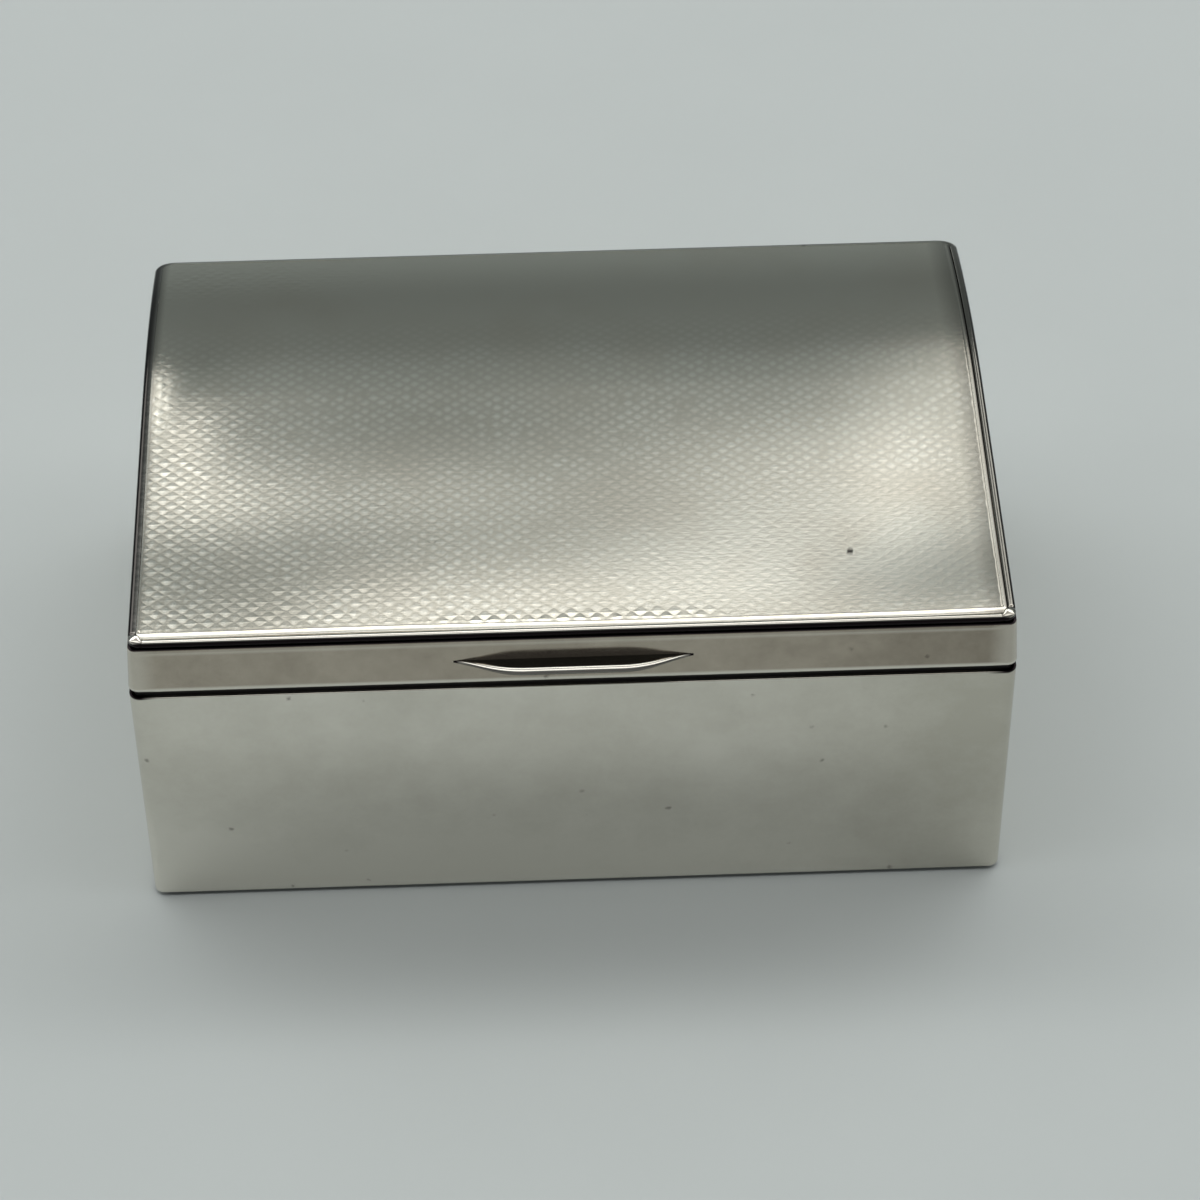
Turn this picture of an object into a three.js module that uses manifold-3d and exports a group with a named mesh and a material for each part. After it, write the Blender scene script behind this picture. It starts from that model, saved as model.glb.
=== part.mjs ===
// A table cigarette box: polished silver body and hinged, arched lid over a cedar lining.
// Millimetres, +Z up, the front towards -Y. The origin is the middle of the underside.

import * as THREE from 'three';
import { mergeVertices } from 'three/addons/utils/BufferGeometryUtils.js';
import Module from 'manifold-3d';

const wasm = await Module();
wasm.setup();

// The box as a whole
const BOX_WIDTH = 140;
const BOX_DEPTH = 96;
const BODY_RIM_HEIGHT = 46.5; // underside of the base to the silver rim of the body
const FOOT_GAP = 0.8; // the base board holds the silver this far off the table
const CORNER_RADIUS = 1.8; // upright corners of body and lid
const SHEET = 0.8; // silver sheet of the walls and the lid plate

// The lid
const LID_GAP = 1.25; // dark line between the body rim and the lid rim
const LID_WALL_HEIGHT = 8.5; // lid rim to the seat of the moulding, at front and back
const LID_DRAFT = 0.6; // each wall leans in by this much over that height
const ARCH_SLOPE = 4.2; // degrees; the plate climbs straight back from its front edge
const ARCH_STRAIGHT = 53; // run of that straight part, before the plate rolls down to the back

// The moulding wire round the lid plate
const BEAD_RADIUS = 0.82;
const BEAD_INSET = 0.1; // outermost line of the bead, in from the top of the wall
const BEAD_START = 60; // degrees below its widest line, where the round begins over the seat
const LEDGE_WIDTH = 1.4; // the plate rests on the moulding's ledge inside the bead
const LEDGE_HEIGHT = 0.5;
const MOULDING_CORNER_RADIUS = 2.6;

// The thumbpiece
const THUMB_LENGTH = 37.6; // along the wall
const THUMB_FRONT_LENGTH = 20.6; // straight front edge
const THUMB_REACH = 2.9; // out from the wall
const THUMB_THICKNESS = 1;
const THUMB_DROP = 3.8; // moulding seat to the thumbpiece's upper face
const THUMB_EDGE_RADIUS = 0.3;

// The hinge
const KNUCKLE_RADIUS = 1.6;
const KNUCKLE_COUNT = 7; // odd ones on the body, even ones on the lid
const PIN_RADIUS = 0.7;
const PIN_SETBACK = 0.3; // pin ends, in from the ends of the outer knuckles
const HINGE_INSET = 1.5; // pin axis, in from the back face
const HINGE_END_INSET = 1; // hinge ends, in from the side faces
const HINGE_RELIEF = 1.9; // the walls are cut back this far above and below the axis
const BEARER_HEIGHT = 2;

// Cedar lining and base
const LINING_THICKNESS = 2.5;
const LINING_PROUD = 1.5; // lining above the body rim
const LID_LINING_THICKNESS = 2.5;
const BASE_THICKNESS = 3.2;
const SCREW_INSET = 12; // screw axes, in from the faces of the box
const SCREW_LENGTH = 5;
const SCREW_SHANK_RADIUS = 0.9;
const SCREW_HEAD_RADIUS = 1.9;
const SCREW_HEAD_HEIGHT = 1;
const SCREW_SUNK = 0.2; // head below the board's underside
const SCREW_SLOT_WIDTH = 0.4;
const SCREW_SLOT_DEPTH = 0.4;

// Clearances
const SEAT = 0.05; // film of solder or glue between pieces that are fixed together
const LINING_FIT = 0.1; // lining and base inside the silver
const CLOSING_GAP = 0.3; // lid lining above the body lining
const PIN_CLEARANCE = 0.05;
const KNUCKLE_GAP = 0.1;
const HINGE_CLEARANCE = 0.35; // lid lining in front of the knuckles
const SCREW_CLEARANCE = 0.1;

// How finely the curves are divided
const ROLL_FACETS = 18; // rolled part of the lid plate
const ARCH_FACETS = 36; // side mouldings, bent over the whole arch
const CORNER_FACETS = 5;
const BEAD_FACETS = 10;
const THUMB_FACETS = 10;
const TUBE_FACETS = 24;
const SCREW_FACETS = 20;

// Levels and places that follow from these sizes
const LID_RIM = BODY_RIM_HEIGHT + LID_GAP;
const LID_SEAT = LID_RIM + LID_WALL_HEIGHT;
const SEAT_HALF_WIDTH = BOX_WIDTH / 2 - LID_DRAFT;
const SEAT_HALF_DEPTH = BOX_DEPTH / 2 - LID_DRAFT;

// The rolled part leaves the straight one without a kink and ends as low as the front edge
const CLIMB = THREE.MathUtils.degToRad(ARCH_SLOPE);
const STRAIGHT_RISE = ARCH_STRAIGHT * Math.tan(CLIMB);
const ROLL_RUN = 2 * SEAT_HALF_DEPTH - ARCH_STRAIGHT;
const DESCENT = CLIMB + 2 * Math.atan(STRAIGHT_RISE / ROLL_RUN);
const ROLL_RADIUS = ROLL_RUN / (Math.sin(CLIMB) + Math.sin(DESCENT));
const ROLL_START = ARCH_STRAIGHT - SEAT_HALF_DEPTH;
const ROLL_CENTRE_Y = ROLL_START + ROLL_RADIUS * Math.sin(CLIMB);
const ROLL_CENTRE_Z = STRAIGHT_RISE - ROLL_RADIUS * Math.cos(CLIMB);
const ARCH_RISE = ROLL_CENTRE_Z + ROLL_RADIUS;

const HINGE_Y = BOX_DEPTH / 2 - HINGE_INSET;
const HINGE_Z = (BODY_RIM_HEIGHT + LID_RIM) / 2;
const BEARER_FRONT = HINGE_Y - KNUCKLE_RADIUS;
const LINING_HALF_WIDTH = BOX_WIDTH / 2 - SHEET - LINING_FIT;
const LINING_HALF_DEPTH = BOX_DEPTH / 2 - SHEET - LINING_FIT;
const FLOOR_BOTTOM = BASE_THICKNESS + SEAT;
const WALL_LINING_BOTTOM = FLOOR_BOTTOM + LINING_THICKNESS + SEAT;
const LINING_TOP = BODY_RIM_HEIGHT + LINING_PROUD;
const LID_LINING_BOTTOM = LINING_TOP + CLOSING_GAP;
const BODY_BEARER_TOP = HINGE_Z - KNUCKLE_RADIUS - SEAT;
const LID_BEARER_BOTTOM = HINGE_Z + KNUCKLE_RADIUS + SEAT;

// A cutting block reaches this far past the piece that it cuts
const OVERCUT = 5;

function solidOf(geometry) {
  const bare = geometry.index ? geometry.toNonIndexed() : geometry.clone();
  bare.deleteAttribute('normal');
  bare.deleteAttribute('uv');
  const merged = mergeVertices(bare, 1e-4);
  const vertProperties = new Float32Array(merged.attributes.position.array);
  const triVerts = new Uint32Array(merged.index.array);
  return new wasm.Manifold(new wasm.Mesh({ numProp: 3, vertProperties, triVerts }));
}

function geometryOf(solid) {
  const mesh = solid.getMesh();
  const geometry = new THREE.BufferGeometry();
  geometry.setAttribute('position', new THREE.BufferAttribute(new Float32Array(mesh.vertProperties), 3));
  geometry.setIndex(new THREE.BufferAttribute(new Uint32Array(mesh.triVerts), 1));
  geometry.computeVertexNormals();
  return geometry;
}

// A block given by its lower and upper limits on each axis
function block(xMin, xMax, yMin, yMax, zMin, zMax) {
  const geometry = new THREE.BoxGeometry(xMax - xMin, yMax - yMin, zMax - zMin);
  geometry.translate((xMin + xMax) / 2, (yMin + yMax) / 2, (zMin + zMax) / 2);
  return geometry;
}

// A rectangle about the origin with rounded corners
function roundedRectangle(Outline, halfWidth, halfDepth, radius) {
  const outline = new Outline();
  const x = halfWidth - radius;
  const y = halfDepth - radius;
  outline.absarc(x, y, radius, 0, Math.PI / 2);
  outline.absarc(-x, y, radius, Math.PI / 2, Math.PI);
  outline.absarc(-x, -y, radius, Math.PI, Math.PI * 1.5);
  outline.absarc(x, -y, radius, Math.PI * 1.5, Math.PI * 2);
  outline.closePath();
  return outline;
}

function roundedPrism(halfWidth, halfDepth, radius, zMin, zMax) {
  const outline = roundedRectangle(THREE.Shape, halfWidth, halfDepth, radius);
  const geometry = new THREE.ExtrudeGeometry(outline, {
    depth: zMax - zMin, bevelEnabled: false, curveSegments: CORNER_FACETS,
  });
  return geometry.translate(0, 0, zMin);
}

// Four walls of sheet standing on the outline of the box
function sheetBand(height) {
  const outline = roundedRectangle(THREE.Shape, BOX_WIDTH / 2, BOX_DEPTH / 2, CORNER_RADIUS);
  const innerRadius = CORNER_RADIUS - SHEET;
  outline.holes.push(
    roundedRectangle(THREE.Path, BOX_WIDTH / 2 - SHEET, BOX_DEPTH / 2 - SHEET, innerRadius),
  );
  return new THREE.ExtrudeGeometry(outline, {
    depth: height, bevelEnabled: false, curveSegments: CORNER_FACETS,
  });
}

// Height of the arch over its front and back edges
function archLift(y) {
  if (y < ROLL_START) {
    return (y + SEAT_HALF_DEPTH) * Math.tan(CLIMB);
  }
  return ROLL_CENTRE_Z + Math.sqrt(ROLL_RADIUS ** 2 - (y - ROLL_CENTRE_Y) ** 2);
}

function bendOverArch(geometry) {
  const position = geometry.attributes.position;
  for (let i = 0; i < position.count; i += 1) {
    position.setZ(i, position.getZ(i) + archLift(position.getY(i)));
  }
  return geometry;
}

// Inward lean of the lid's walls at a height
function leanAt(z) {
  return LID_DRAFT * (z - LID_RIM) / LID_WALL_HEIGHT;
}

// Points of the arch over a level, from front to back
function archPoints(halfDepth, level) {
  const points = [new THREE.Vector2(-halfDepth, level + archLift(-halfDepth))];
  for (let step = 0; step <= ROLL_FACETS; step += 1) {
    const y = ROLL_START + (halfDepth - ROLL_START) * step / ROLL_FACETS;
    points.push(new THREE.Vector2(y, level + archLift(y)));
  }
  return points;
}

// A bar along X with its cross-section given in Y and Z
function alongWidth(points, halfWidth) {
  const section = new THREE.Shape(points);
  const geometry = new THREE.ExtrudeGeometry(section, { depth: 2 * halfWidth, bevelEnabled: false });
  geometry.rotateX(Math.PI / 2);
  geometry.rotateZ(Math.PI / 2);
  return geometry.translate(-halfWidth, 0, 0);
}

function bodyBand() {
  const band = sheetBand(BODY_RIM_HEIGHT - FOOT_GAP).translate(0, 0, FOOT_GAP);
  const hingeSlot = block(
    -BOX_WIDTH, BOX_WIDTH, HINGE_Y - HINGE_RELIEF, BOX_DEPTH,
    HINGE_Z - HINGE_RELIEF, BODY_RIM_HEIGHT + OVERCUT,
  );
  return geometryOf(solidOf(band).subtract(solidOf(hingeSlot)));
}

function lidBand() {
  const band = sheetBand(LID_WALL_HEIGHT + ARCH_RISE + OVERCUT).translate(0, 0, LID_RIM);
  const position = band.attributes.position;
  for (let i = 0; i < position.count; i += 1) {
    const lean = leanAt(position.getZ(i));
    position.setX(i, position.getX(i) - Math.sign(position.getX(i)) * lean);
    position.setY(i, position.getY(i) - Math.sign(position.getY(i)) * lean);
  }
  const underArch = alongWidth([
    new THREE.Vector2(-BOX_DEPTH, LID_SEAT),
    new THREE.Vector2(-BOX_DEPTH, LID_RIM - OVERCUT),
    new THREE.Vector2(BOX_DEPTH, LID_RIM - OVERCUT),
    new THREE.Vector2(BOX_DEPTH, LID_SEAT),
    ...archPoints(SEAT_HALF_DEPTH, LID_SEAT).reverse(),
  ], BOX_WIDTH);
  const hingeSlot = block(
    -BOX_WIDTH, BOX_WIDTH, HINGE_Y - HINGE_RELIEF, BOX_DEPTH, LID_RIM - OVERCUT, HINGE_Z + HINGE_RELIEF,
  );
  const room = solidOf(underArch).subtract(solidOf(hingeSlot));
  return geometryOf(solidOf(band).intersect(room));
}

function plateHalfSize(seatHalfSize) {
  return seatHalfSize - BEAD_INSET - 2 * BEAD_RADIUS - SEAT;
}

function lidTop() {
  const halfWidth = plateHalfSize(SEAT_HALF_WIDTH);
  const halfDepth = plateHalfSize(SEAT_HALF_DEPTH);
  const bottom = LID_SEAT + LEDGE_HEIGHT + 2 * SEAT;
  const underside = archPoints(halfDepth, bottom);
  const upperSide = archPoints(halfDepth, bottom + SHEET);
  return alongWidth([...underside, ...upperSide.reverse()], halfWidth);
}

// Cross-section of the moulding: x runs outwards from the top of the wall, y upwards from the seat
function mouldingSection() {
  const section = new THREE.Shape();
  const bead = -BEAD_INSET - BEAD_RADIUS;
  const ledgeEnd = bead - BEAD_RADIUS - LEDGE_WIDTH;
  const startAngle = -THREE.MathUtils.degToRad(BEAD_START);
  const ledgeAngle = Math.PI - Math.asin((LEDGE_HEIGHT - BEAD_RADIUS) / BEAD_RADIUS);
  section.moveTo(ledgeEnd, 0);
  section.lineTo(bead + BEAD_RADIUS * Math.cos(startAngle), 0);
  section.absarc(bead, BEAD_RADIUS, BEAD_RADIUS, startAngle, ledgeAngle);
  section.lineTo(ledgeEnd, LEDGE_HEIGHT);
  section.closePath();
  return section;
}

// One side of the moulding: a bar along its side of the lid, bent over the arch and mitred
function moulding(side) {
  const alongFront = side === 'front' || side === 'back';
  const halfLength = alongFront ? SEAT_HALF_WIDTH : SEAT_HALF_DEPTH;
  const reach = alongFront ? SEAT_HALF_DEPTH : SEAT_HALF_WIDTH;
  const turns = { right: 0, back: 1, left: 2, front: 3 };
  const bar = new THREE.ExtrudeGeometry(mouldingSection(), {
    depth: 2 * halfLength, steps: alongFront ? 1 : ARCH_FACETS, bevelEnabled: false,
    curveSegments: BEAD_FACETS,
  });
  bar.translate(reach, 0, -halfLength);
  bar.rotateX(Math.PI / 2);
  bar.rotateZ(turns[side] * Math.PI / 2);
  bar.translate(0, 0, LID_SEAT + SEAT);
  const wedge = new THREE.Shape();
  const nearEnd = reach - halfLength + SEAT / 2;
  wedge.moveTo(nearEnd, 0);
  wedge.lineTo(reach + SEAT / 2, halfLength);
  wedge.lineTo(reach + OVERCUT, halfLength);
  wedge.lineTo(reach + OVERCUT, -halfLength);
  wedge.lineTo(reach + SEAT / 2, -halfLength);
  const height = 2 * BEAD_RADIUS + ARCH_RISE + OVERCUT;
  const mitre = new THREE.ExtrudeGeometry(wedge, { depth: height, bevelEnabled: false });
  mitre.rotateZ(turns[side] * Math.PI / 2);
  mitre.translate(0, 0, LID_SEAT - OVERCUT / 2);
  const rounding = roundedPrism(
    SEAT_HALF_WIDTH - BEAD_INSET, SEAT_HALF_DEPTH - BEAD_INSET, MOULDING_CORNER_RADIUS,
    LID_SEAT - OVERCUT / 2, LID_SEAT + height,
  );
  const solid = solidOf(bendOverArch(bar)).intersect(solidOf(mitre)).intersect(solidOf(rounding));
  return geometryOf(solid);
}

// A lip in plan: a straight front edge and shoulders swept back to the wall
function thumbpiece() {
  const half = THUMB_LENGTH / 2;
  const front = THUMB_FRONT_LENGTH / 2;
  const edge = THUMB_EDGE_RADIUS;
  const tip = half - edge;
  const reach = THUMB_REACH - edge;
  const sweep = (tip - front) / 3;
  const lip = new THREE.Shape();
  lip.moveTo(-tip, 0);
  lip.bezierCurveTo(-tip + sweep, -reach / 3, -front - sweep, -reach, -front, -reach);
  lip.lineTo(front, -reach);
  lip.bezierCurveTo(front + sweep, -reach, tip - sweep, -reach / 3, tip, 0);
  const geometry = new THREE.ExtrudeGeometry(lip, {
    depth: THUMB_THICKNESS - 2 * edge, bevelSize: edge, bevelThickness: edge, bevelSegments: 3,
    curveSegments: THUMB_FACETS,
  });
  const bottom = LID_SEAT - THUMB_DROP - THUMB_THICKNESS;
  const wall = -BOX_DEPTH / 2 + leanAt(bottom) - SEAT;
  geometry.translate(0, wall, bottom + edge);
  const outside = block(
    -half - OVERCUT, half + OVERCUT, wall - THUMB_REACH - OVERCUT, wall,
    bottom - OVERCUT, bottom + THUMB_THICKNESS + OVERCUT,
  );
  return geometryOf(solidOf(geometry).intersect(solidOf(outside)));
}

const HINGE_LENGTH = BOX_WIDTH - 2 * HINGE_END_INSET;
const KNUCKLE_PITCH = HINGE_LENGTH / KNUCKLE_COUNT;

function knuckle(index) {
  const ring = new THREE.Shape();
  ring.absarc(0, 0, KNUCKLE_RADIUS, 0, Math.PI * 2);
  const bore = new THREE.Path();
  bore.absarc(0, 0, PIN_RADIUS + PIN_CLEARANCE, 0, Math.PI * 2);
  ring.holes.push(bore);
  const geometry = new THREE.ExtrudeGeometry(ring, {
    depth: KNUCKLE_PITCH - KNUCKLE_GAP, bevelEnabled: false, curveSegments: TUBE_FACETS / 2,
  });
  geometry.rotateY(Math.PI / 2);
  const start = -HINGE_LENGTH / 2 + index * KNUCKLE_PITCH + KNUCKLE_GAP / 2;
  return geometry.translate(start, HINGE_Y, HINGE_Z);
}

function hingePin() {
  const length = HINGE_LENGTH - 2 * PIN_SETBACK;
  const geometry = new THREE.CylinderGeometry(PIN_RADIUS, PIN_RADIUS, length, TUBE_FACETS);
  geometry.rotateZ(Math.PI / 2);
  return geometry.translate(0, HINGE_Y, HINGE_Z);
}

// The bearers stop where the upright corners begin to turn
function bodyBearer() {
  const half = BOX_WIDTH / 2 - Math.max(CORNER_RADIUS, SHEET) - SEAT;
  return block(
    -half, half, BEARER_FRONT, BOX_DEPTH / 2 - SHEET - SEAT,
    BODY_BEARER_TOP - BEARER_HEIGHT, BODY_BEARER_TOP,
  );
}

function lidBearer() {
  const top = LID_BEARER_BOTTOM + BEARER_HEIGHT;
  const inset = SHEET + leanAt(top) + SEAT;
  const half = BOX_WIDTH / 2 - Math.max(CORNER_RADIUS, SHEET) - leanAt(top) - SEAT;
  return block(-half, half, BEARER_FRONT, BOX_DEPTH / 2 - inset, LID_BEARER_BOTTOM, top);
}

// The room inside the silver, less the fit of the wood
function liningRoom(zMin, zMax) {
  const radius = Math.max(CORNER_RADIUS - SHEET - LINING_FIT, LINING_FIT);
  return solidOf(roundedPrism(LINING_HALF_WIDTH, LINING_HALF_DEPTH, radius, zMin, zMax));
}

function liningPanel(xMin, xMax, yMin, yMax, top) {
  const panel = solidOf(block(xMin, xMax, yMin, yMax, WALL_LINING_BOTTOM, top));
  return geometryOf(panel.intersect(liningRoom(WALL_LINING_BOTTOM, top)));
}

function liningFront() {
  const inner = LINING_HALF_DEPTH - LINING_THICKNESS;
  return liningPanel(-LINING_HALF_WIDTH, LINING_HALF_WIDTH, -LINING_HALF_DEPTH, -inner, LINING_TOP);
}

// The back board stops under the hinge bearer
function liningBack() {
  const inner = LINING_HALF_DEPTH - LINING_THICKNESS;
  const top = BODY_BEARER_TOP - BEARER_HEIGHT - SEAT;
  return liningPanel(-LINING_HALF_WIDTH, LINING_HALF_WIDTH, inner, LINING_HALF_DEPTH, top);
}

function liningSide(sign) {
  const inner = LINING_HALF_WIDTH - LINING_THICKNESS;
  const end = LINING_HALF_DEPTH - LINING_THICKNESS - SEAT;
  const xMin = sign < 0 ? -LINING_HALF_WIDTH : inner;
  return liningPanel(xMin, xMin + LINING_THICKNESS, -end, end, LINING_TOP);
}

function lidLining() {
  const top = LID_LINING_BOTTOM + LID_LINING_THICKNESS;
  const inset = SHEET + leanAt(top) + LINING_FIT;
  const radius = Math.max(CORNER_RADIUS - SHEET - LINING_FIT, LINING_FIT);
  const room = roundedPrism(
    BOX_WIDTH / 2 - inset, BOX_DEPTH / 2 - inset, radius, LID_LINING_BOTTOM, top,
  );
  const hingeRoom = block(
    -BOX_WIDTH, BOX_WIDTH, BEARER_FRONT - HINGE_CLEARANCE, BOX_DEPTH,
    LID_LINING_BOTTOM - OVERCUT, top + OVERCUT,
  );
  return geometryOf(solidOf(room).subtract(solidOf(hingeRoom)));
}

const SCREW_PLACES = [[-1, -1], [1, -1], [1, 1], [-1, 1]].map(([sideX, sideY]) => [
  sideX * (BOX_WIDTH / 2 - SCREW_INSET),
  sideY * (BOX_DEPTH / 2 - SCREW_INSET),
]);

// A countersunk wood screw, head down; a hole is the same shape grown by the clearance
function screwForm(growth) {
  const tip = SCREW_SUNK + SCREW_LENGTH + growth;
  const shank = SCREW_SHANK_RADIUS + growth;
  const head = SCREW_HEAD_RADIUS + growth;
  const bottom = SCREW_SUNK - growth;
  const neck = bottom + SCREW_HEAD_HEIGHT + growth;
  const profile = [
    new THREE.Vector2(0, bottom),
    new THREE.Vector2(head, bottom),
    new THREE.Vector2(shank, neck),
    new THREE.Vector2(shank, tip - shank),
    new THREE.Vector2(0, tip),
  ];
  const geometry = new THREE.LatheGeometry(profile, SCREW_FACETS);
  return geometry.rotateX(Math.PI / 2);
}

function baseScrew(index) {
  const [x, y] = SCREW_PLACES[index];
  const slot = block(
    -SCREW_HEAD_RADIUS - OVERCUT, SCREW_HEAD_RADIUS + OVERCUT, -SCREW_SLOT_WIDTH / 2, SCREW_SLOT_WIDTH / 2,
    SCREW_SUNK - OVERCUT, SCREW_SUNK + SCREW_SLOT_DEPTH,
  );
  return geometryOf(solidOf(screwForm(0)).subtract(solidOf(slot))).translate(x, y, 0);
}

function withScrewHoles(board) {
  let solid = board;
  for (const [x, y] of SCREW_PLACES) {
    const radius = SCREW_HEAD_RADIUS + SCREW_CLEARANCE;
    const mouth = new THREE.CylinderGeometry(radius, radius, 2 * SCREW_SUNK, SCREW_FACETS);
    mouth.rotateX(Math.PI / 2);
    solid = solid.subtract(solidOf(mouth.translate(x, y, 0)));
    solid = solid.subtract(solidOf(screwForm(SCREW_CLEARANCE).translate(x, y, 0)));
  }
  return geometryOf(solid);
}

function baseBoard() {
  return withScrewHoles(liningRoom(0, BASE_THICKNESS));
}

function liningFloor() {
  return withScrewHoles(liningRoom(FLOOR_BOTTOM, FLOOR_BOTTOM + LINING_THICKNESS));
}

const silver = { color: '#c9c8c0', roughness: 0.14, metalness: 1 };
const turnedSilver = { color: '#bdbcb4', roughness: 0.3, metalness: 1 };
const cedar = { color: '#8a5a3a', roughness: 0.6, metalness: 0 };
const hardwood = { color: '#4a2d1e', roughness: 0.5, metalness: 0 };
const brass = { color: '#b08d4a', roughness: 0.35, metalness: 1 };

function piece(group, name, geometry, finish) {
  const mesh = new THREE.Mesh(geometry, new THREE.MeshStandardMaterial(finish));
  mesh.name = name;
  group.add(mesh);
}

const body = new THREE.Group();
piece(body, 'body_band', bodyBand(), silver);
piece(body, 'base_board', baseBoard(), hardwood);
piece(body, 'lining_floor', liningFloor(), cedar);
piece(body, 'lining_front', liningFront(), cedar);
piece(body, 'lining_back', liningBack(), cedar);
piece(body, 'lining_left', liningSide(-1), cedar);
piece(body, 'lining_right', liningSide(1), cedar);
piece(body, 'body_bearer', bodyBearer(), silver);
piece(body, 'hinge_pin', hingePin(), silver);
SCREW_PLACES.forEach((place, index) => {
  piece(body, `base_screw_${index + 1}`, baseScrew(index), brass);
});

const lid = new THREE.Group();
piece(lid, 'lid_band', lidBand(), silver);
piece(lid, 'lid_top', lidTop(), turnedSilver);
for (const side of ['front', 'back', 'left', 'right']) {
  piece(lid, `moulding_${side}`, moulding(side), silver);
}
piece(lid, 'thumbpiece', thumbpiece(), silver);
piece(lid, 'lid_lining', lidLining(), cedar);
piece(lid, 'lid_bearer', lidBearer(), silver);

for (let index = 0; index < KNUCKLE_COUNT; index += 1) {
  const onBody = index % 2 === 0;
  const name = `${onBody ? 'body' : 'lid'}_knuckle_${Math.floor(index / 2) + 1}`;
  piece(onBody ? body : lid, name, knuckle(index), silver);
}

const box = new THREE.Group();
box.add(body, lid);

export default box;
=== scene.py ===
# %% [markdown]
# # A silver table box with an engine-turned lid
#
# The box is a tray of polished silver sheet with a cedar lining, and a lid that turns on a long hinge
# at the back. Its solids come ready-made from the CAD model, in metres, each in its right place. This
# lesson dresses them: it rebuilds every wall with the soft edges that polished metal has, cuts the
# engine turning into the lid as real relief, and gives each piece the finish of its material.

# %% Load the frame
import math
from functools import partial

import bmesh
import bpy
import numpy as np
from mathutils import Matrix, Vector


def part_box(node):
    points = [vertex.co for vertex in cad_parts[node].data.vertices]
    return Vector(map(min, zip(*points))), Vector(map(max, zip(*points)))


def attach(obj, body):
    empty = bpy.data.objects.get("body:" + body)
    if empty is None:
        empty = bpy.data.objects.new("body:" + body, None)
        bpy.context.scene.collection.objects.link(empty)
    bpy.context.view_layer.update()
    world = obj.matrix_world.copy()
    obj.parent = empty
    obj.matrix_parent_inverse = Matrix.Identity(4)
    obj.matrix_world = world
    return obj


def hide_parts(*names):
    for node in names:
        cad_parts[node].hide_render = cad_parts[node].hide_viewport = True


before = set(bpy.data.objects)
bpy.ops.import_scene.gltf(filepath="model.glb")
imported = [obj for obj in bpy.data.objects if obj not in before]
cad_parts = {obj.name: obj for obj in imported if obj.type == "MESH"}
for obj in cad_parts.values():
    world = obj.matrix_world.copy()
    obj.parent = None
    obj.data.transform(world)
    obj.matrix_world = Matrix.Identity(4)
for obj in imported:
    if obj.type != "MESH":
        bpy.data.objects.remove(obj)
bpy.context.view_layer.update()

# %% [markdown]
# ## Sizes
#
# A maker works in millimetres, so sizes are in millimetres and become metres when a mesh is made. They
# follow the CAD model, so each new piece lies on the solid that it stands for. Only the bead is slimmer,
# the head of the lid's wall stands 0.15 mm higher, and the lid's back corners are rounder.

# %% Sizes of the box
MM = 0.001

BOX_WIDTH = 140
BOX_DEPTH = 96
FOOT_GAP = 0.8
BODY_RIM = 46.5
CORNER_RADIUS = 1.8
SHEET = 0.8
SEAM = 0.05

LID_RIM = 47.75
LID_SEAT = 56.4
LID_DRAFT = 0.6
SEAT_HALF_WIDTH = BOX_WIDTH / 2 - LID_DRAFT
SEAT_HALF_DEPTH = BOX_DEPTH / 2 - LID_DRAFT

HINGE_Y = 46.5
HINGE_Z = 47.125
HINGE_RELIEF = 1.9
print("seat of the lid plate:", 2 * SEAT_HALF_WIDTH, "x", 2 * SEAT_HALF_DEPTH, "mm")

# %% [markdown]
# ## The arch of the lid
#
# From its front edge the lid climbs straight, then rolls over to the back and comes down as low as
# it began. A straight line and a circle that meet without a kink describe it. Walls, moulding and
# plate are all made flat first and then lifted by this one function, so they can't part.

# %% The arch
CLIMB = math.radians(4.2)
STRAIGHT = 53
RISE = STRAIGHT * math.tan(CLIMB)
ROLL_RUN = 2 * SEAT_HALF_DEPTH - STRAIGHT
DESCENT = CLIMB + 2 * math.atan(RISE / ROLL_RUN)
ROLL_RADIUS = ROLL_RUN / (math.sin(CLIMB) + math.sin(DESCENT))
ROLL_START = STRAIGHT - SEAT_HALF_DEPTH
ROLL_Y = ROLL_START + ROLL_RADIUS * math.sin(CLIMB)
ROLL_Z = RISE - ROLL_RADIUS * math.cos(CLIMB)


def arch_lift(y):
    """Height of the arch over the lid's front and back edges, at a distance y from the middle."""
    straight = (y + SEAT_HALF_DEPTH) * math.tan(CLIMB)
    rolled = ROLL_Z + np.sqrt(ROLL_RADIUS ** 2 - (y - ROLL_Y) ** 2)
    return np.where(y < ROLL_START, straight, rolled)


def lean(z):
    """How far the lid's wall leans in at a height z."""
    return LID_DRAFT * (z - LID_RIM) / (LID_SEAT - LID_RIM)


print("arch: rises", round(ROLL_Z + ROLL_RADIUS, 2), "mm, rolls over on a radius of", round(ROLL_RADIUS, 1))

# %% [markdown]
# ## Small helpers
#
# One helper turns lists of points and faces into a mesh, and one puts a mesh in the scene as a piece,
# hangs it under the body it moves with, hides the solids it stands for and gives it its material.
# Another adds a node to a material or to a Geometry Nodes tree: a plain value is set on the socket, an
# output of another node is linked to it, and a node by itself stands for its first output.

# %% Helpers
SMOOTH_ANGLE = math.radians(38)


def mesh_from(name, points, faces, **marks):
    """A mesh from points in millimetres; marks are values from 0 to 1 at its points, for the finish."""
    mesh = bpy.data.meshes.new(name)
    mesh.from_pydata([tuple(MM * float(value) for value in point) for point in points], [], faces)
    for mark, values in marks.items():
        mesh.attributes.new(mark, "FLOAT", "POINT").data.foreach_set("value", values)
    return mesh


def put(name, data):
    """A new object in the scene."""
    thing = bpy.data.objects.new(name, data)
    bpy.context.scene.collection.objects.link(thing)
    return thing


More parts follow.
